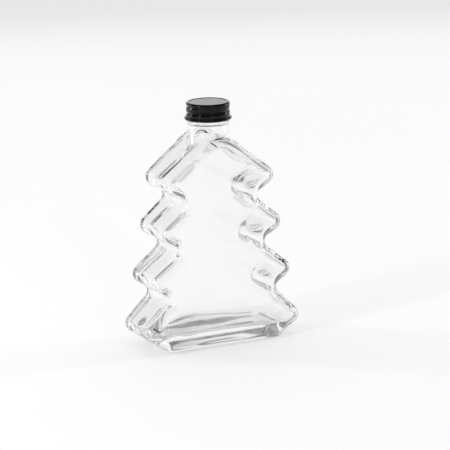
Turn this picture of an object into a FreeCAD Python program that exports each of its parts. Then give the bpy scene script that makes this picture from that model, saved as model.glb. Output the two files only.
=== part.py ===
import FreeCAD, Part
import math
import os

# A clear glass bottle in the shape of a fir tree, with four pairs of branch tips, flat front
# and back panels, a thick floor and a short round neck, closed by a rolled sheet-metal screw cap.
# Millimetres. X runs across the branches, Y from front to back, Z up. The origin is the centre
# of the foot. The two nodes are glass_bottle and screw_cap.

# Branch tips and the notches between them, as sharp corners before rounding, lowest first.
tip_half_widths = [57.8, 52.3, 46.6, 41.9]
tip_heights = [12.5, 45.2, 76.3, 107.3]
tip_radius = 6.5
notch_half_widths = [35.2, 26.3, 21.9]
notch_heights = [34.5, 65.7, 96.5]
notch_radius = 4.1

# Crown: the top slopes end here, just inside the arch that carries the neck.
crown_half_width = 15.4
crown_height = 128.7
crown_radius = 4.8

# Foot: a narrow stand under the lowest branches.
foot_half_width = 39.4
foot_corner_half_width = 43.2
foot_corner_height = 4.3
foot_radius = 4.8

# Body: the tree outline drawn out from front to back, with rounded panel edges.
body_depth = 42.0
edge_radius = 4.2
wall = 3.0
floor_thickness = 9.0
floor_corner_radius = 5.0
cavity_edge_radius = 3.0

# Arch: a round shoulder lying front to back under the neck, wider than it by arch_margin.
arch_margin = 5.7
arch_top_height = 135.9

# Neck and finish. The cap's skirt leaves thread_room round the finish.
neck_radius = 12.9
neck_root_radius = 3.5
bore_radius = 9.8
bore_root_radius = 2.0
bead_radius = 13.5
bead_half_height = 1.1
bead_center_height = 143.4
finish_radius = 12.6
lip_radius = 0.8

# Cap: a thin drawn shell with a raised rim round its top and a rolled curl at its foot.
cap_height = 11.3
cap_sheet = 0.3
thread_room = 1.1
cap_rim_width = 2.2
cap_rim_height = 0.8
cap_shoulder_radius = 1.1
curl_radius = 0.9
curl_overhang = 1.2
curl_clearance = 0.7

# Sizes and places that follow from those above.
arch_radius = neck_radius + arch_margin
cap_radius = finish_radius + thread_room + cap_sheet
cap_foot_height = bead_center_height + bead_half_height + curl_clearance
cap_top_height = cap_foot_height + cap_height
lip_height = cap_top_height - cap_rim_height - cap_sheet


def point(x, z):
    """A point of the front view, in the plane y = 0."""
    return FreeCAD.Vector(x, 0, z)


def inset(corners, distance):
    """The corners of an open run of straight edges, moved to the right of the run.

    An end point slides square to its edge, and a corner between two edges keeps its mitre.
    """
    normals = []
    for start, end in zip(corners, corners[1:]):
        along = (end - start).normalize()
        normals.append(point(along.z, -along.x))
    moved = [corners[0] + normals[0] * distance]
    for corner, before, after in zip(corners[1:], normals, normals[1:]):
        mitre = before + after
        moved.append(corner + mitre * (2 * distance / mitre.Length ** 2))
    moved.append(corners[-1] + normals[-1] * distance)
    return moved


def both_sides(corners):
    """Right-hand corners from top to bottom, followed by their mirror images back to the top."""
    return corners + [point(-corner.x, corner.z) for corner in reversed(corners)]


def rounded_face(corners, radii):
    """A flat face with rounded corners, and the tightest radius of its outward corners.

    A radius is limited so that its arc takes at most half of either edge it joins.
    """
    arcs = []
    outward_radii = []
    for index, corner in enumerate(corners):
        back = corners[index - 1] - corner
        ahead = corners[(index + 1) % len(corners)] - corner
        slope = math.tan(back.getAngle(ahead) / 2)
        reach = min(radii[index] / slope, 0.49 * min(back.Length, ahead.Length))
        radius = reach * slope
        if back.cross(ahead).y < 0:
            outward_radii.append(radius)
        back.normalize()
        ahead.normalize()
        bisector = (back + ahead).normalize()
        middle = corner + bisector * (math.hypot(reach, radius) - radius)
        arcs.append((corner + back * reach, middle, corner + ahead * reach))
    edges = []
    for arc, following in zip(arcs, arcs[1:] + arcs[:1]):
        edges.append(Part.Arc(*arc).toShape())
        edges.append(Part.makeLine(arc[2], following[0]))
    return Part.Face(Part.Wire(edges)), min(outward_radii)


def drawn_out(face, depth, rounding):
    """A face of the front view drawn out to half the depth on each side, panel edges rounded."""
    solid = face.extrude(FreeCAD.Vector(0, depth, 0))
    solid.translate(FreeCAD.Vector(0, -depth / 2, 0))
    panel_edges = [edge for edge in solid.Edges if edge.BoundBox.YLength < 1e-6]
    return solid.makeFillet(rounding, panel_edges)


def arch(radius, depth, rounding):
    """The round shoulder, or its hollow: a drum lying front to back with rounded rims."""
    center = FreeCAD.Vector(0, -depth / 2, arch_top_height - arch_radius)
    drum = Part.makeCylinder(radius, depth, center, FreeCAD.Vector(0, 1, 0))
    rims = [edge for edge in drum.Edges if edge.BoundBox.YLength < 1e-6]
    return drum.makeFillet(rounding, rims)


def tree_side():
    """Right-hand corners of the tree, from the crown down to the foot corner."""
    corners = [point(crown_half_width, crown_height)]
    for level in range(len(tip_heights) - 1, 0, -1):
        corners.append(point(tip_half_widths[level], tip_heights[level]))
        corners.append(point(notch_half_widths[level - 1], notch_heights[level - 1]))
    corners.append(point(tip_half_widths[0], tip_heights[0]))
    corners.append(point(foot_corner_half_width, foot_corner_height))
    return corners


def side_radii(tip, notch):
    """Radii that alternate down the branches, starting and ending at a tip."""
    radii = [tip]
    for _ in notch_heights:
        radii += [notch, tip]
    return radii


def outer_body():
    """The glass as a full block: tree and arch."""
    corners = both_sides(tree_side() + [point(foot_half_width, 0)])
    right = [crown_radius] + side_radii(tip_radius, notch_radius) + [foot_radius, foot_radius]
    face, tightest = rounded_face(corners, right + right[::-1])
    rounding = min(edge_radius, 0.95 * tightest)
    return drawn_out(face, body_depth, rounding).fuse(arch(arch_radius, body_depth, rounding))


def cavity():
    """The space inside the body: the same outline one wall further in, above the floor."""
    inner = inset(tree_side(), wall)
    underside = inner[-1] - inner[-2]
    share = (floor_thickness - inner[-2].z) / underside.z
    inner[-1] = inner[-2] + underside * share
    right = [crown_radius] + side_radii(tip_radius - wall, notch_radius + wall)
    right.append(floor_corner_radius)
    face, tightest = rounded_face(both_sides(inner), right + right[::-1])
    rounding = min(cavity_edge_radius, 0.95 * tightest)
    depth = body_depth - 2 * wall
    return drawn_out(face, depth, rounding).fuse(arch(arch_radius - wall, depth, rounding))


def ring_edges(solid, radius):
    """Edges of the solid that run all along an upright cylinder of the given radius."""
    found = []
    for edge in solid.Edges:
        points = edge.discretize(9)
        if all(abs(math.hypot(p.x, p.y) - radius) < 0.01 for p in points):
            found.append(edge)
    return found


def glass_bottle():
    """The bottle as one solid of glass."""
    up = FreeCAD.Vector(0, 0, 1)
    inside_arch = FreeCAD.Vector(0, 0, arch_top_height - arch_radius)
    neck = Part.makeCylinder(neck_radius, bead_center_height - inside_arch.z, inside_arch, up)
    body = outer_body().fuse(neck).removeSplitter()
    room = body_depth / 2 - edge_radius - neck_radius
    root = [edge for edge in ring_edges(body, neck_radius) if edge.BoundBox.ZMax < bead_center_height - 1]
    body = body.makeFillet(min(neck_root_radius, 0.95 * room), root)

    finish = Part.makeCylinder(finish_radius, lip_height - inside_arch.z, inside_arch, up)
    lip = [edge for edge in finish.Edges if edge.BoundBox.ZMin > lip_height - 1e-6]
    finish = finish.makeFillet(lip_radius, lip)
    bead_center = FreeCAD.Vector(0, 0, bead_center_height)
    bead = Part.makeTorus(bead_radius - bead_half_height, bead_half_height, bead_center, up)
    body = body.fuse([finish, bead])

    bore = Part.makeCylinder(bore_radius, lip_height - inside_arch.z, inside_arch, up)
    hollow = cavity().fuse(bore).removeSplitter()
    hollow = hollow.makeFillet(bore_root_radius, [
        edge for edge in ring_edges(hollow, bore_radius) if edge.BoundBox.ZMax < lip_height - 1])
    return body.cut(hollow).removeSplitter()


def turned(corners):
    """The solid swept by a closed outline, given as radius and height, round the bottle's axis."""
    points = [point(radius, height) for radius, height in corners]
    face = Part.Face(Part.makePolygon(points + points[:1]))
    return face.revolve(FreeCAD.Vector(0, 0, 0), FreeCAD.Vector(0, 0, 1), 360)


def cap_block(skirt_radius, foot, top, rim_inner_radius, rounding):
    """A full turned block with a raised, rounded rim round its recessed top."""
    recess = top - cap_rim_height
    block = turned([(0, foot), (skirt_radius, foot), (skirt_radius, top),
                    (rim_inner_radius, top), (rim_inner_radius - cap_rim_height, recess), (0, recess)])
    rim = [edge for edge in block.Edges
           if edge.BoundBox.ZMin > top - 1e-6 and edge.BoundBox.XMax > skirt_radius - 1e-6]
    return block.makeFillet(rounding, rim)


def screw_cap():
    """The cap as one thin shell with a rolled curl."""
    curl_height = cap_foot_height + curl_radius
    rim_inner_radius = cap_radius - cap_rim_width
    outside = cap_block(cap_radius, curl_height, cap_top_height, rim_inner_radius, cap_shoulder_radius)
    inside = cap_block(cap_radius - cap_sheet, cap_foot_height - 1, cap_top_height - cap_sheet,
                       rim_inner_radius, cap_shoulder_radius - cap_sheet)
    curl = Part.makeTorus(cap_radius + curl_overhang - curl_radius, curl_radius,
                          FreeCAD.Vector(0, 0, curl_height), FreeCAD.Vector(0, 0, 1))
    return outside.cut(inside).fuse(curl).removeSplitter()


def save(shape, node):
    """Write one node as a single solid."""
    if len(shape.Solids) != 1 or not shape.isValid():
        raise ValueError(node + " is not one valid solid")
    shape.Solids[0].exportStep("parts/" + node + ".step")


os.makedirs("parts", exist_ok=True)
save(glass_bottle(), "glass_bottle")
save(screw_cap(), "screw_cap")
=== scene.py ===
import math

import bmesh
import bpy
import numpy as np
from mathutils import Matrix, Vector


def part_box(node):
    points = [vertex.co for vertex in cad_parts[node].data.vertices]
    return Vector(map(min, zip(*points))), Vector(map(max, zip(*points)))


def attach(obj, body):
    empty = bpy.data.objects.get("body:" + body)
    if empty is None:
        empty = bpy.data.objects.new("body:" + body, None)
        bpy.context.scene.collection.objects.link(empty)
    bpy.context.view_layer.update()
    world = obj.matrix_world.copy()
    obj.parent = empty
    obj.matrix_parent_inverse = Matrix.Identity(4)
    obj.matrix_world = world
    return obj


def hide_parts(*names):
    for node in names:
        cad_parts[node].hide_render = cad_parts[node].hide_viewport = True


# The looks of a clear glass bottle in the shape of a fir tree and of its black screw cap.
# Lengths are in millimetres until a mesh is made; X runs across the branches, Z is up.

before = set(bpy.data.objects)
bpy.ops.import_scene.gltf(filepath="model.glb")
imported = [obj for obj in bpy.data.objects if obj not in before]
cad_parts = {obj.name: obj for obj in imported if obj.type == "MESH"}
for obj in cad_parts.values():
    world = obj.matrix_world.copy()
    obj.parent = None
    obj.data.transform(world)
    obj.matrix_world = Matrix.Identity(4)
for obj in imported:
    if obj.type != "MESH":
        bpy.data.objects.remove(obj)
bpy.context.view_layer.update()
MM = 0.001

# ---------------------------------------------------------------- sizes of the bottle

# Corners of the tree's right half, as (x, z) before they are rounded, from the foot upwards.
FOOT = (39.4, 0.0)
FOOT_CORNER = (43.2, 4.3)
TIPS = [(57.8, 12.5), (52.3, 45.2), (46.6, 76.3), (41.9, 107.3)]
NOTCHES = [(35.2, 34.5), (26.3, 65.7), (21.9, 96.5)]
CROWN = (15.4, 128.7)
FOOT_RADIUS = 4.8
TIP_RADIUS = 6.5
NOTCH_RADIUS = 4.1
CROWN_RADIUS = 4.8
# The sharpest that a tip gets where the outline is moved in round the panel's edge.
OUTER_TIP = 0.8
HALF_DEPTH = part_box("glass_bottle")[1].y / MM
EDGE_RADIUS = 4.2
PUSH_UP = 2.2

# The neck stands on an arch that is a little wider than the neck.
NECK_RADIUS = 12.9
ARCH_RADIUS = NECK_RADIUS + 5.7
ARCH_TOP = 135.9
ARCH_CREASE = 2.5
ROOT_BLEND = 5.0
JOIN_HEIGHT = 117.0

# The hollow: one wall further in, with notches that are rounder than the wall alone makes them.
WALL = 3.0
FLOOR = 9.0
HOLLOW_DEPTH = HALF_DEPTH - WALL
HOLLOW_EDGE = 3.4
FLOOR_RADIUS = 5.0
INNER_TIP = 3.0
NOTCH_EASE = 2.0
HOLLOW_CREASE = 7.0
HOLLOW_BLEND = 6.0
BORE_RADIUS = 9.8
# The bore's rings start this far below the lip and end one step over the shoulder's.
BORE_DROP = 2.0
BORE_STEP = 1.0

# ---------------------------------------------------------------- sizes of the finish and cap

CAP_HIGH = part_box("screw_cap")[1]
CAP_HEIGHT = 11.3
CAP_TOP = CAP_HIGH.z / MM
CAP_FOOT = CAP_TOP - CAP_HEIGHT
CURL_REACH = CAP_HIGH.x / MM
CAP_SHEET = 0.3
THREAD_ROOM = 1.1
FINISH_RADIUS = 12.6
SKIRT_RADIUS = FINISH_RADIUS + THREAD_ROOM + CAP_SHEET
PANEL_RADIUS = SKIRT_RADIUS - 2.3
RIM_SLOPE = 0.9
RIM_HEIGHT = 0.25
CAP_SHOULDER = 1.1
CURL_RADIUS = 0.9
CURL_MIDDLE = CAP_FOOT + CURL_RADIUS
SKIRT_FOOT = CURL_MIDDLE + 1.1
SKIRT_TOP = CAP_TOP - CAP_SHOULDER - 0.2
PANEL_HEIGHT = CAP_TOP - RIM_HEIGHT
LIP = PANEL_HEIGHT - CAP_SHEET
LIP_ROUND = 0.8
BORE_ROUND = 0.7

# The transfer bead sits a little below the cap's foot, and the neck flares up to it.
BEAD_RADIUS = 13.8
BEAD_HALF = 0.8
CURL_CLEARANCE = 0.7
BEAD_HEIGHT = CAP_FOOT - CURL_CLEARANCE - BEAD_HALF
FLARE_DROP = 2.6
FLARE = [(0.06, 1.6), (0.2, 1.05)]
FINISH_START = 1.4

# The rolled thread: its pitch, depth and width, how far over the curl's middle it starts, and the
# turns at which it begins, ends and has faded.
THREAD_PITCH = 4.2
THREAD_DEPTH = 0.65
THREAD_WIDTH = 0.75
THREAD_START = 1.6
THREAD_TURNS = (-0.15, 1.65)
THREAD_FADE = 0.2
# The groove stays on the skirt, between these heights.
GROOVE_LOW = CURL_MIDDLE + 0.8
GROOVE_HIGH = CAP_TOP - 1.5

# ---------------------------------------------------------------- how blowing leaves the inside

# Depths and lengths of the ripple and streaks, in millimetres, and where both die out.
RIPPLE = 0.2
RIPPLE_SEED = 11
RIPPLE_LENGTHS = (60.0, 22.0)
STREAK = 0.6
STREAK_SPACING = 22.0
STREAK_SLANT = 23.0
STREAK_PHASE = 1.6
STREAK_POWER = 1.5
STREAK_RIGHT = -0.9
CALM_BELOW_LIP = 18.0
CALM_FADE = 12.0
FLOOR_TURN = 1.5

# Humps of the glass floor: height, middle, half width, then its level and its lean to the back.
HUMPS = [(4.6, -12.0, 15.0, 0.62, 0.38), (2.4, 12.0, 16.0, 0.6, 0.4), (2.2, -36.0, 6.0, 1.0, 0.0)]
HUMP_RISE = 16.0
HUMP_END = 46.0
HUMP_FADE = 10.0

# ---------------------------------------------------------------- how finely the meshes are cut

COLUMNS = (6, 11, 14)
QUARTER = sum(COLUMNS) + 1
OUTER_RINGS = 250
INNER_RINGS = 220
BORE_RINGS = 10
TURN_LENGTH = 4.0
EDGE_STEPS = 33
HEIGHT_STEPS = 20001
OUTER_TILTS = np.radians(np.linspace(0, 58, 96))[1:]
INNER_TILTS = np.radians(np.linspace(0, 64, 70))[1:]
UNDERSIDE_SHARES = np.linspace(0.03, 0.97, 16)
FLOOR_SHARES = np.array([0.9, 0.75, 0.5, 0.25, 0.03])
CAP_COLUMNS = 192
CAP_CENTER = 0.4
WELD = 0.002


# ---------------------------------------------------------------- mesh helpers

def weld(mesh):
    """Joins points that lie on one place, so no face is left without an area."""
    joined = bmesh.new()
    joined.from_mesh(mesh)
    bmesh.ops.remove_doubles(joined, verts=joined.verts, dist=WELD * MM)
    joined.to_mesh(mesh)
    joined.free()


def closed_surface(name, rows):
    """A closed, smooth mesh from rings of points, its two ends drawn to a point.

    rows has the shape rings x columns x 3, in millimetres. Neighbouring rings and columns make
    four-sided faces, the last column meets the first, and each end ring is closed by a fan.
    """
    rings, columns = rows.shape[:2]
    poles = rows[[0, -1]].mean(axis=1)
    points = np.concatenate([rows.reshape(-1, 3), poles]) * MM
    ring, column = np.meshgrid(np.arange(rings - 1), np.arange(columns), indexing="ij")
    after = (column + 1) % columns
    low = ring * columns
    high = low + columns
    quads = np.stack([low + column, low + after, high + after, high + column], -1).reshape(-1, 4)
    around = np.arange(columns)
    ahead = (around + 1) % columns
    low_pole = rings * columns
    first = np.stack([np.full(columns, low_pole), ahead, around], -1)
    last_row = (rings - 1) * columns
    last = np.stack([np.full(columns, low_pole + 1), last_row + around, last_row + ahead], -1)
    mesh = bpy.data.meshes.new(name)
    faces = quads.tolist() + first.tolist() + last.tolist()
    mesh.from_pydata(points.tolist(), [], faces)
    weld(mesh)
    mesh.polygons.foreach_set("use_smooth", np.ones(len(mesh.polygons), bool))
    mesh.update()
    piece = bpy.data.objects.new(name, mesh)
    bpy.context.scene.collection.objects.link(piece)
    return piece


def smoothstep(x):
    """0 below 0, 1 above 1, and 3x^2 - 2x^3 between."""
    x = np.clip(x, 0, 1)
    return x * x * (3 - 2 * x)


def four_quarters(quarter):
    """Rings from their first quarters: x from the side to the middle of the front, mirrored twice.

    quarter has the shape rings x columns x 3 and runs from y = 0 to x = 0.
    """
    mirror_x = quarter[:, :0:-1] * [-1, 1, 1]
    half = np.concatenate([quarter[:, :-1], mirror_x], axis=1)
    return np.concatenate([half, half * [-1, -1, 1]], axis=1)


# ---------------------------------------------------------------- the tree outline

class Outline:
    """Half of the tree's front view, as the half-width at each height.

    The outline is a run of straight edges between corners, from top to bottom. A corner is
    rounded by an arc that touches both edges, bulging outwards at a tip and inwards at a notch.
    """

    def __init__(self, corners, radii, outward):
        self.corners = np.array(corners, float)
        self.radii = np.array(radii, float)
        self.outward = np.array(outward)

    def inset(self, distance, sharpest):
        """The same outline moved inwards; tips get tighter, down to sharpest, notches wider."""
        along = np.diff(self.corners, axis=0)
        along /= np.linalg.norm(along, axis=1)[:, None]
        normal = np.stack([along[:, 1], -along[:, 0]], -1)
        mitre = normal[:-1] + normal[1:]
        mitre *= 2 / (mitre ** 2).sum(1)[:, None]
        shift = np.concatenate([normal[:1], mitre, normal[-1:]])
        radii = self.radii + np.where(self.outward, -distance, distance)
        return Outline(self.corners + shift * distance, np.maximum(radii, sharpest), self.outward)

    def half_width(self, height):
        """x at each height: the straight edges, then each corner's arc over its own span."""
        x = np.interp(height, self.corners[::-1, 1], self.corners[::-1, 0])
        for index in range(1, len(self.corners) - 1):
            before, corner, after = self.corners[index - 1:index + 2]
            back = (before - corner) / np.linalg.norm(before - corner)
            ahead = (after - corner) / np.linalg.norm(after - corner)
            half_angle = math.acos(np.clip(back @ ahead, -1, 1)) / 2
            radius = self.radii[index]
            reach = radius / math.tan(half_angle)
            bisector = (back + ahead) / np.linalg.norm(back + ahead)
            center = corner + bisector * radius / math.sin(half_angle)
            top = (corner + back * reach)[1]
            bottom = (corner + ahead * reach)[1]
            on_arc = (height < top) & (height > bottom - 1e-6)
            side = 1 if self.outward[index] else -1
            drop = np.clip(radius ** 2 - (height - center[1]) ** 2, 0, None)
            x = np.where(on_arc, center[0] + side * np.sqrt(drop), x)
        return x


def branch_corners():
    """Corners from the crown to the lowest tip, with their radii and whether each is a tip."""
    corners = [CROWN]
    radii = [0.0]
    outward = [True]
    for level in range(3, -1, -1):
        corners.append(TIPS[level])
        radii.append(TIP_RADIUS)
        outward.append(True)
        if level > 0:
            corners.append(NOTCHES[level - 1])
            radii.append(NOTCH_RADIUS)
            outward.append(False)
    return corners, radii, outward


def outer_outline():
    """The outside: the branches, then the foot's hollow corner and its flat underside."""
    corners, radii, outward = branch_corners()
    return Outline(corners + [FOOT_CORNER, FOOT, (0, 0)], radii + [FOOT_RADIUS, FOOT_RADIUS, 0],
                   outward + [False, True, True])


def hollow_outline():
    """The outline one wall further in, down to the glass floor, with its notches eased."""
    corners, radii, outward = branch_corners()
    shell = Outline(corners + [FOOT_CORNER], radii + [0], outward + [True]).inset(WALL, INNER_TIP)
    tip, foot = shell.corners[-2:]
    share = (FLOOR - tip[1]) / (foot[1] - tip[1])
    floor_corner = tip + (foot - tip) * share
    corners = np.concatenate([shell.corners[:-1], [floor_corner, [0, FLOOR]]])
    radii = np.concatenate([shell.radii[:-1], [FLOOR_RADIUS, 0]])
    radii[:-2][~shell.outward[:-1]] += NOTCH_EASE
    return Outline(corners, radii, np.append(shell.outward[:-1], [True, True]))


def even_heights(outline, low, high, count):
    """Heights spaced evenly along the outline, closer together where it turns.

    The spacing is even in arc length plus TURN_LENGTH times the angle turned.
    """
    fine = np.linspace(low, high, HEIGHT_STEPS)
    x = outline.half_width(fine)
    run = np.diff(x)
    rise = np.diff(fine)
    angle = np.unwrap(np.arctan2(rise, run))
    turned = np.abs(np.diff(angle, append=angle[-1]))
    measure = np.concatenate([[0], np.cumsum(np.hypot(run, rise) + TURN_LENGTH * turned)])
    return np.interp(np.linspace(0, measure[-1], count), measure, fine)


def ring_quarters(outline, heights, low, half_depth, edge_radius, sharpest):
    """Quarter sections of the drawn-out outline at the given heights.

    A section runs straight back along the side, round the panel edge, and across the panel. On
    the edge, at an angle a from the side, the outline is moved in by r(1 - cos a) and the point
    stands r sin a further out; near the bottom, height above it limits how far a can turn.
    """
    side, edge, panel = COLUMNS
    turn_end = np.arccos(np.clip(1 - (heights - low) / edge_radius, 0, 1))
    flat = half_depth - edge_radius
    x = np.zeros((len(heights), QUARTER))
    y = np.zeros_like(x)
    x[:, :side] = outline.half_width(heights)[:, None]
    y[:, :side] = np.linspace(0, flat, side, endpoint=False)
    moved_in = edge_radius * (1 - np.cos(np.linspace(0, math.pi / 2, EDGE_STEPS)))
    stack = np.array([outline.inset(step, sharpest).half_width(np.maximum(heights, low + step))
                      for step in moved_in])
    rows = np.arange(len(heights))
    for column in range(edge + 1):
        turn = turn_end * column / edge
        place = np.interp(edge_radius * (1 - np.cos(turn)), moved_in, np.arange(EDGE_STEPS))
        lower = np.minimum(place.astype(int), EDGE_STEPS - 2)
        part = place - lower
        x[:, side + column] = stack[lower, rows] * (1 - part) + stack[lower + 1, rows] * part
        y[:, side + column] = flat + edge_radius * np.sin(turn)
    share = np.linspace(1, 0, panel + 1)[1:]
    x[:, side + edge + 1:] = x[:, side + edge, None] * share
    y[:, side + edge + 1:] = y[:, side + edge, None]
    z = np.broadcast_to(heights[:, None], x.shape)
    return np.stack([x, y, z], -1)


# ---------------------------------------------------------------- the shoulder

def smooth_union(a, b, width):
    """The smaller of two distances, eased where they cross: min - h^2 / (4 width)."""
    overlap = np.clip(width - np.abs(a - b), 0, None)
    return np.minimum(a, b) - overlap ** 2 / (4 * width)


def rounded_corner(first, second, radius):
    """Distance from the rounded corner that two walls, given by their distances, make."""
    first = first + radius
    second = second + radius
    outside = np.hypot(np.maximum(first, 0), np.maximum(second, 0))
    return outside + np.minimum(np.maximum(first, second), 0) - radius


def shoulder_distance(points, inward, half_depth, edge_radius, tube_radius, crease, blend):
    """Distance of points from the shoulder, moved inwards by inward.

    In the front view it is the smooth union of the slopes, rounded at the crown, and the arch.
    Drawn out to half_depth with rounded edges, that is the body, joined to the neck's tube.
    """
    x = np.abs(points[..., 0])
    y = np.abs(points[..., 1])
    z = points[..., 2]
    tip = np.array(TIPS[3])
    along = (tip - CROWN) / np.linalg.norm(tip - CROWN)
    slope = (x - CROWN[0]) * -along[1] + (z - CROWN[1]) * along[0] + inward
    top = z - CROWN[1] + inward
    slope = rounded_corner(slope, top, CROWN_RADIUS)
    arch = np.hypot(x, z - ARCH_TOP + ARCH_RADIUS) - ARCH_RADIUS + inward
    outline = smooth_union(slope, arch, crease)
    body = rounded_corner(outline, y - half_depth, edge_radius)
    neck = np.hypot(x, y) - tube_radius
    return smooth_union(body, neck, blend)


def cast(origin_height, angles, tilt, distance, nearest=2.0, farthest=70.0, halvings=44):
    """Points where rays from the axis leave the shoulder, found by halving the interval.

    angles has one bearing per ring and column, tilt one elevation per ring. The crossing lies
    between nearest and farthest.
    """
    level = np.cos(tilt)[:, None]
    direction = np.stack([np.cos(angles) * level, np.sin(angles) * level,
                          np.broadcast_to(np.sin(tilt)[:, None], angles.shape)], -1)
    origin = np.array([0, 0, origin_height])
    near = np.full(angles.shape, nearest)
    far = np.full(angles.shape, farthest)
    for _ in range(halvings):
        middle = (near + far) / 2
        inside = distance(origin + direction * middle[..., None]) < 0
        near = np.where(inside, middle, near)
        far = np.where(inside, far, middle)
    return origin + direction * far[..., None]


def shoulder_quarters(first_ring, tilts, distance, lead=0.1, pace=1.15):
    """Rings from the join up to the neck, whose bearings slide from the body's to even ones.

    The slide is a smooth step over the tilts; lead holds its start back and pace quickens it.
    """
    start = np.arctan2(first_ring[:, 1], first_ring[:, 0])
    even = np.linspace(0, math.pi / 2, len(start))
    share = smoothstep(tilts / tilts[-1] * pace - lead)[:, None]
    angles = start * (1 - share) + even * share
    return cast(JOIN_HEIGHT, angles, tilts, distance)


def turned_quarters(profile):
    """Quarter rings of a turned profile of (radius, height) points."""
    angles = np.linspace(0, math.pi / 2, QUARTER)
    radius, height = np.array(profile).T
    return np.stack([radius[:, None] * np.cos(angles), radius[:, None] * np.sin(angles),
                     np.broadcast_to(height[:, None], (len(radius), QUARTER))], -1)


def arc(center, radius, start, end, count):
    """Points on an arc, by angles in degrees from the outward level direction."""
    angles = np.radians(np.linspace(start, end, count))
    return [(center[0] + radius * math.cos(a), center[1] + radius * math.sin(a)) for a in angles]


def neck_profile(low):
    """The outside of the neck and finish as (radius, height), from low up and over the lip.

    A straight neck, a flare, the bead's arc, the straight finish, and a lip rounded both ways.
    """
    flare_foot = BEAD_HEIGHT - FLARE_DROP
    profile = [(NECK_RADIUS, low + (flare_foot - low) * share) for share in np.linspace(0.15, 1, 7)]
    profile += [(NECK_RADIUS + widening, BEAD_HEIGHT - drop) for widening, drop in FLARE]
    profile += arc((BEAD_RADIUS - BEAD_HALF, BEAD_HEIGHT), BEAD_HALF, -48, 60, 11)
    finish = np.linspace(BEAD_HEIGHT + FINISH_START, LIP - LIP_ROUND, 6)
    profile += [(FINISH_RADIUS, height) for height in finish]
    profile += arc((FINISH_RADIUS - LIP_ROUND, LIP - LIP_ROUND), LIP_ROUND, 12, 90, 6)
    profile += arc((BORE_RADIUS + BORE_ROUND, LIP - BORE_ROUND), BORE_ROUND, 90, 180, 6)
    return profile


# ---------------------------------------------------------------- the glass

def facing(rings):
    """Unit normals of a grid of rings: the cross product of the ways along its two directions."""
    around = np.roll(rings, -1, axis=1) - np.roll(rings, 1, axis=1)
    along = np.gradient(rings, axis=0)
    normal = np.cross(around, along)
    return normal / np.maximum(np.linalg.norm(normal, axis=-1, keepdims=True), 1e-9)


def uneven(points, seed, longest, shortest, count=14):
    """A slow wave in space, about -1 to 1: the mean of sines with set lengths and directions."""
    draw = np.random.default_rng(seed)
    way = draw.normal(size=(count, 3))
    way /= np.linalg.norm(way, axis=1)[:, None]
    length = np.geomspace(longest, shortest, count)
    phase = draw.uniform(0, 2 * math.pi, count)
    wave = np.sin(points @ (way * (2 * math.pi / length)[:, None]).T + phase)
    return (wave * np.sqrt(length)).sum(-1) / np.sqrt(length.sum())


def settled(hollow):
    """The inside as blowing leaves it: a ripple, streaks, and a floor that is thicker off centre.

    Each point moves along its normal by the ripple and by the streak. The streak is a sine of y
    and z that grows with the product of the normal's x and z, so it shows on the slopes of the
    branches. Both fade towards the neck, and on the floor they only lift the glass. Points near
    the floor also rise by its humps: a bell across x, times a level that leans with y, fading up
    the wall and towards the tips.
    """
    x, y, z = np.moveaxis(hollow, -1, 0)
    calm = smoothstep((LIP - CALM_BELOW_LIP - z) / CALM_FADE)
    ripple = RIPPLE * uneven(hollow, RIPPLE_SEED, *RIPPLE_LENGTHS) * calm
    on_floor = 1 - smoothstep((z - FLOOR) / FLOOR_TURN)[..., None]
    normal = facing(hollow) * (1 - on_floor) + on_floor * [0, 0, 1]
    wave = y * (2 * math.pi / STREAK_SPACING) + z / STREAK_SLANT + STREAK_PHASE
    slope = np.abs(2 * normal[..., 0] * normal[..., 2]) ** STREAK_POWER
    streak = STREAK * np.sin(wave) * calm * slope * np.where(x < 0, 1.0, STREAK_RIGHT)
    moved = hollow + normal * (ripple + streak)[..., None]
    rise = (1 - smoothstep((z - FLOOR) / HUMP_RISE)) * smoothstep((HUMP_END - np.abs(x)) / HUMP_FADE)
    for height, middle, width, level, lean in HUMPS:
        bell = np.exp(-((x - middle) / width) ** 2)
        moved[..., 2] += height * bell * (level + lean * y / HOLLOW_DEPTH) * rise
    return moved


def outside_quarters():
    """First quarters of the skin: the pushed-up underside, the branches, the shoulder and neck.

    The underside's rings are the foot ring shrunk by each share s and raised by
    PUSH_UP (1 - s^3)^2.
    """
    outline = outer_outline()
    heights = even_heights(outline, 0.0, JOIN_HEIGHT, OUTER_RINGS)
    body = ring_quarters(outline, heights, 0.0, HALF_DEPTH, EDGE_RADIUS, OUTER_TIP)
    underside = body[0][None] * UNDERSIDE_SHARES[:, None, None]
    underside[..., 2] = (PUSH_UP * (1 - UNDERSIDE_SHARES ** 3) ** 2)[:, None]

    def distance(points):
        return shoulder_distance(points, 0.0, HALF_DEPTH, EDGE_RADIUS, NECK_RADIUS,
                                 ARCH_CREASE, ROOT_BLEND)

    shoulder = shoulder_quarters(body[-1], OUTER_TILTS, distance)
    neck = turned_quarters(neck_profile(shoulder[-1, 0, 2]))
    return np.concatenate([underside, body, shoulder, neck])


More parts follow.
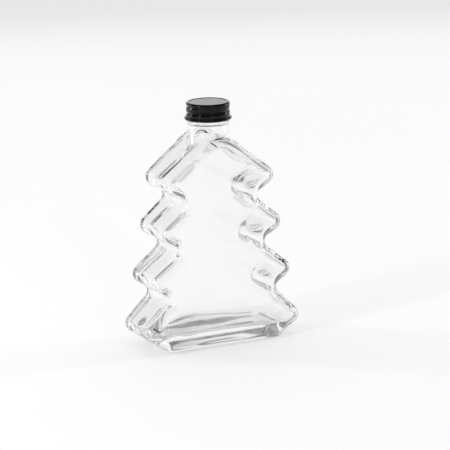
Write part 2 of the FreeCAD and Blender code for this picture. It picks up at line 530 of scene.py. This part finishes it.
def hollow_quarters():
    """First quarters of the hollow, from below the lip down the bore to the floor's middle."""
    outline = hollow_outline()
    heights = even_heights(outline, FLOOR, JOIN_HEIGHT, INNER_RINGS)
    body = ring_quarters(outline, heights, FLOOR, HOLLOW_DEPTH, HOLLOW_EDGE, INNER_TIP)

    def distance(points):
        return shoulder_distance(points, WALL, HOLLOW_DEPTH, HOLLOW_EDGE, BORE_RADIUS,
                                 HOLLOW_CREASE, HOLLOW_BLEND)

    shoulder = shoulder_quarters(body[-1], INNER_TILTS, distance)
    bore_foot = shoulder[-1, 0, 2] + BORE_STEP
    bore_heights = np.linspace(LIP - BORE_DROP, bore_foot, BORE_RINGS)
    bore = turned_quarters([(BORE_RADIUS, height) for height in bore_heights])
    floor = body[0][None] * FLOOR_SHARES[:, None, None]
    floor[..., 2] = FLOOR
    return np.concatenate([bore, shoulder[::-1], body[::-1], floor])


def glass_bottle():
    """One closed wall of glass: the outside from the foot up, over the lip, and down inside."""
    skin = four_quarters(outside_quarters())
    hollow = settled(four_quarters(hollow_quarters()))
    return closed_surface("glass_wall", np.concatenate([skin, hollow]))


# ---------------------------------------------------------------- the cap

def cap_profile():
    """The shell's (radius, height) points: out over the panel and rim, down the skirt, round the
    curl, and back up and in along the inside.

    The rim climbs from the panel by a smooth step of RIM_HEIGHT over RIM_SLOPE.
    """
    curl = (CURL_REACH - CURL_RADIUS, CURL_MIDDLE)
    shoulder = (SKIRT_RADIUS - CAP_SHOULDER, CAP_TOP - CAP_SHOULDER)
    inside = SKIRT_RADIUS - CAP_SHEET
    share = np.linspace(0, 1, 9)
    profile = [(radius, PANEL_HEIGHT) for radius in (CAP_CENTER, 4, 8, PANEL_RADIUS - 0.4)]
    profile += list(zip(PANEL_RADIUS + share * RIM_SLOPE,
                        PANEL_HEIGHT + RIM_HEIGHT * smoothstep(share)))
    profile += arc(shoulder, CAP_SHOULDER, 84, 0, 9)
    profile += [(SKIRT_RADIUS, height) for height in np.linspace(SKIRT_TOP, SKIRT_FOOT, 44)]
    profile += arc(curl, CURL_RADIUS, 70, -180, 22)
    profile += [(inside, height) for height in np.linspace(SKIRT_FOOT, SKIRT_TOP, 30)]
    profile += arc(shoulder, CAP_SHOULDER - CAP_SHEET, 0, 90, 5)
    profile += [(radius, LIP) for radius in (SKIRT_RADIUS - 3.0, 6, CAP_CENTER)]
    return profile


def thread_groove(angle, height):
    """The thread as 0 to 1: a bell across it, whose middle climbs by one pitch a turn.

    It fades out at both ends.
    """
    low = CURL_MIDDLE + THREAD_START
    first, last = THREAD_TURNS
    groove = np.zeros_like(height)
    for turn in range(-1, 3):
        climbed = angle / (2 * math.pi) + turn
        fade = smoothstep((climbed - first) / THREAD_FADE) * smoothstep((last - climbed) / THREAD_FADE)
        groove += fade * np.exp(-((height - low - THREAD_PITCH * climbed) / THREAD_WIDTH) ** 2)
    return groove


def screw_cap():
    """A thin drawn shell: panel, rounded rim, skirt with a rolled thread, and a rolled curl.

    Each ring's radius is lowered by THREAD_DEPTH times the groove, on the skirt only.
    """
    radius, height = np.array(cap_profile()).T
    angle = np.linspace(0, 2 * math.pi, CAP_COLUMNS, endpoint=False)
    radius = np.repeat(radius[:, None], CAP_COLUMNS, 1)
    height = np.repeat(height[:, None], CAP_COLUMNS, 1)
    on_skirt = radius > SKIRT_RADIUS - CAP_SHEET - 0.01
    on_skirt &= (height > GROOVE_LOW) & (height < GROOVE_HIGH)
    radius = radius - THREAD_DEPTH * thread_groove(angle, height) * on_skirt
    rows = np.stack([radius * np.cos(angle), radius * np.sin(angle), height], -1)
    return closed_surface("cap_shell", rows[::-1])


# ---------------------------------------------------------------- materials

def linear(code):
    """An sRGB hex colour turned to linear values with alpha."""
    channels = [int(code[index:index + 2], 16) / 255 for index in (0, 2, 4)]
    return [c / 12.92 if c <= 0.04045 else ((c + 0.055) / 1.055) ** 2.4 for c in channels] + [1]


def add(tree, kind, settings=None, links=None, **attributes):
    """A new node with its socket values, links into its sockets, and attributes."""
    node = tree.nodes.new(kind)
    for name, value in attributes.items():
        setattr(node, name, value)
    for socket, value in (settings or {}).items():
        node.inputs[socket].default_value = value
    for socket, source in (links or {}).items():
        tree.links.new(source, node.inputs[socket])
    return node


def new_material(name):
    """An empty node material and its tree."""
    material = bpy.data.materials.new(name)
    material.use_nodes = True
    material.node_tree.nodes.clear()
    return material, material.node_tree


def flint_glass():
    """Flint glass, blown in a polished mould.

    The eye sees no colour, only bent light with white and grey edges, and a faint waviness of
    the skin about 14 mm long.
    """
    material, tree = new_material("flint_glass")
    place = add(tree, "ShaderNodeTexCoord")
    ripple = add(tree, "ShaderNodeTexNoise", {"Scale": 1 / (14 * MM), "Detail": 1.0},
                 {"Vector": place.outputs["Object"]})
    bump = add(tree, "ShaderNodeBump", {"Strength": 0.25, "Distance": 0.05 * MM},
               {"Height": ripple.outputs["Fac"]})
    glass = add(tree, "ShaderNodeBsdfPrincipled",
                {"Base Color": linear("fdfdfd"), "Roughness": 0.0, "IOR": 1.52,
                 "Transmission Weight": 1.0}, {"Normal": bump.outputs["Normal"]})
    add(tree, "ShaderNodeOutputMaterial", links={"Surface": glass.outputs["BSDF"]})
    return material


def lacquered_tinplate():
    """Tinplate with black stoving lacquer, drawn and rolled.

    The eye sees near black with sharp glints, slightly broken because the lacquer's skin is
    uneven at about 0.6 mm.
    """
    material, tree = new_material("lacquered_tinplate")
    place = add(tree, "ShaderNodeTexCoord")
    peel = add(tree, "ShaderNodeTexNoise", {"Scale": 1 / (0.6 * MM), "Detail": 2.0},
               {"Vector": place.outputs["Object"]})
    gloss = add(tree, "ShaderNodeMapRange", {"To Min": 0.07, "To Max": 0.16},
                {"Value": peel.outputs["Fac"]})
    bump = add(tree, "ShaderNodeBump", {"Strength": 0.12, "Distance": 0.03 * MM},
               {"Height": peel.outputs["Fac"]})
    lacquer = add(tree, "ShaderNodeBsdfPrincipled",
                  {"Base Color": linear("030303"), "IOR": 1.5, "Specular IOR Level": 0.2},
                  {"Roughness": gloss.outputs["Result"], "Normal": bump.outputs["Normal"]})
    add(tree, "ShaderNodeOutputMaterial", links={"Surface": lacquer.outputs["BSDF"]})
    return material


def white_board():
    """A matt white painted board: pale and even, with a faint glow as of a lit white sweep."""
    material, tree = new_material("matt_white_board")
    paint = add(tree, "ShaderNodeBsdfPrincipled",
                {"Base Color": linear("f2f2f2"), "Roughness": 0.9,
                 "Emission Color": (1, 1, 1, 1), "Emission Strength": 0.45})
    add(tree, "ShaderNodeOutputMaterial", links={"Surface": paint.outputs["BSDF"]})
    return material


# ---------------------------------------------------------------- pieces

def place_piece(piece, material, node):
    """Gives a piece its material and its body, and hides the CAD part of the same node."""
    piece.data.materials.append(material)
    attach(piece, "root")
    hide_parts(node)


def studio_floor(half=4.0, drop=0.0004):
    """A square board in metres, just under the foot so that the two share no plane."""
    mesh = bpy.data.meshes.new("studio_floor")
    corners = [(-half, -half, 0), (half, -half, 0), (half, half, 0), (-half, half, 0)]
    mesh.from_pydata(corners, [], [(0, 1, 2, 3)])
    board = bpy.data.objects.new("studio_floor", mesh)
    bpy.context.scene.collection.objects.link(board)
    board.location.z = -drop
    board.data.materials.append(white_board())


place_piece(glass_bottle(), flint_glass(), "glass_bottle")
place_piece(screw_cap(), lacquered_tinplate(), "screw_cap")
studio_floor()

# ---------------------------------------------------------------- light and camera

# The studio faces the bottle's left front corner, so its back wall stands behind the bottle.
STUDIO_BEARING = 27.3
BACK_WALL = 1.1
FRONT_WALL = 0.24
CEILING = 0.32
# Cosines of the angle from straight back, between which the front wall turns to the back wall.
WALL_FADE = (-0.2, 0.7)
# Sines of the elevation, between which the walls turn to the ceiling.
CEILING_FADE = (0.18, 0.55)
# Height in metres that the light panels are aimed at.
PANEL_AIM = 0.12
# Light panels: name, bearing, height, distance, width, how tall, brightness, and whether the
# reflections show it.
PANELS = [
    ("overhead", 180, 2.4, 0.6, 3.0, 3.0, 0.2, False),
    ("top_box", 0, 1.3, 0.06, 0.7, 0.1, 4.0, True),
    ("back_box", 180, 0.46, 1.2, 1.6, 0.45, 0.5, True),
    ("left_box", 106, 0.3, 1.2, 0.16, 0.5, 14.0, True),
    ("front_left_box", 46, 0.4, 1.2, 0.16, 0.5, 14.0, True),
    ("front_right_box", -22, 0.4, 1.2, 0.1, 0.3, 9.0, True),
    ("right_box", -111, 0.3, 1.2, 0.16, 0.5, 10.0, True),
]


def faded(tree, direction, look, fade, start, end):
    """A smooth step from start to end as the look's share along a direction crosses a fade."""
    along = add(tree, "ShaderNodeVectorMath", {1: direction}, {0: look}, operation="DOT_PRODUCT")
    step = add(tree, "ShaderNodeMapRange",
               {"From Min": fade[0], "From Max": fade[1], "To Min": start, "To Max": end},
               {"Value": along.outputs["Value"]}, interpolation_type="SMOOTHSTEP")
    return step.outputs["Result"]


def studio_world():
    """A soft white room: bright walls behind the bottle, dimmer in front, and a dim ceiling.

    Its brightness is ceiling + (wall - ceiling) times a fade with elevation.
    """
    world = bpy.data.worlds.new("studio")
    bpy.context.scene.world = world
    world.use_nodes = True
    tree = world.node_tree
    tree.nodes.clear()
    look = add(tree, "ShaderNodeTexCoord").outputs["Generated"]
    turn = math.radians(STUDIO_BEARING)
    back = (math.sin(turn), math.cos(turn), 0.0)
    walls = faded(tree, back, look, WALL_FADE, FRONT_WALL, BACK_WALL)
    low = faded(tree, (0, 0, 1), look, CEILING_FADE, 1.0, 0.0)
    over = add(tree, "ShaderNodeMath", {1: CEILING}, {0: walls}, operation="SUBTRACT")
    part = add(tree, "ShaderNodeMath", {}, {0: over.outputs[0], 1: low}, operation="MULTIPLY")
    total = add(tree, "ShaderNodeMath", {1: CEILING}, {0: part.outputs[0]}, operation="ADD")
    sky = add(tree, "ShaderNodeBackground", {}, {"Strength": total.outputs["Value"]})
    add(tree, "ShaderNodeOutputWorld", links={"Surface": sky.outputs["Background"]})


def studio_settings():
    """Plain display of the colours, and enough light bounces to pass both walls of clear glass."""
    scene = bpy.context.scene
    scene.view_settings.view_transform = "Standard"
    scene.cycles.max_bounces = 32
    scene.cycles.transmission_bounces = 24
    scene.cycles.glossy_bounces = 24


def aim(thing, place, target, roll=0.0):
    """Turns a camera or light to look from place to target, then rolls it about its own axis."""
    ahead = np.array(target, float) - place
    ahead /= np.linalg.norm(ahead)
    right = np.cross(ahead, [0, 0, 1])
    right /= np.linalg.norm(right)
    up = np.cross(right, ahead)
    tilted_right = right * math.cos(roll) + up * math.sin(roll)
    tilted_up = np.cross(tilted_right, ahead)
    matrix = np.eye(4)
    matrix[:3, 0] = tilted_right
    matrix[:3, 1] = tilted_up
    matrix[:3, 2] = -ahead
    matrix[:3, 3] = place
    thing.matrix_world = Matrix(matrix.tolist())


def soft_panel(name, bearing, height, distance, width, tall, brightness, seen):
    """A soft light panel aimed at the bottle; bearing 0 is in front, positive to the left.

    Lengths are in metres and the bearing in degrees. The panel's power is pi times its
    brightness times its area. It is left out of the light that comes through the glass, and
    one that is not seen is left out of the reflections too.
    """
    data = bpy.data.lights.new(name, "AREA")
    data.shape = "RECTANGLE"
    data.size = width
    data.size_y = tall
    data.energy = brightness * math.pi * width * tall
    thing = bpy.data.objects.new(name, data)
    bpy.context.scene.collection.objects.link(thing)
    turn = math.radians(STUDIO_BEARING + 180 + bearing)
    place = np.array([distance * math.sin(turn), distance * math.cos(turn), height])
    aim(thing, place, (0.0, 0.0, PANEL_AIM))
    thing.visible_transmission = False
    thing.visible_glossy = seen
    thing.visible_camera = False


def camera():
    """A long lens that looks slightly down at the bottle's left front corner, in metres."""
    azimuth = math.radians(27.31)
    elevation = math.radians(13.43)
    distance = 1.84166
    target = np.array([0.00795, -0.00523, 0.07568])
    back = np.array([-math.sin(azimuth) * math.cos(elevation),
                     -math.cos(azimuth) * math.cos(elevation), math.sin(elevation)])
    data = bpy.data.cameras.new("camera")
    data.lens = 229.8
    data.sensor_width = 36
    thing = bpy.data.objects.new("camera", data)
    bpy.context.scene.collection.objects.link(thing)
    aim(thing, target + back * distance, target, roll=math.radians(-1.089))
    bpy.context.scene.camera = thing


studio_world()
studio_settings()
for panel in PANELS:
    soft_panel(*panel)
camera()
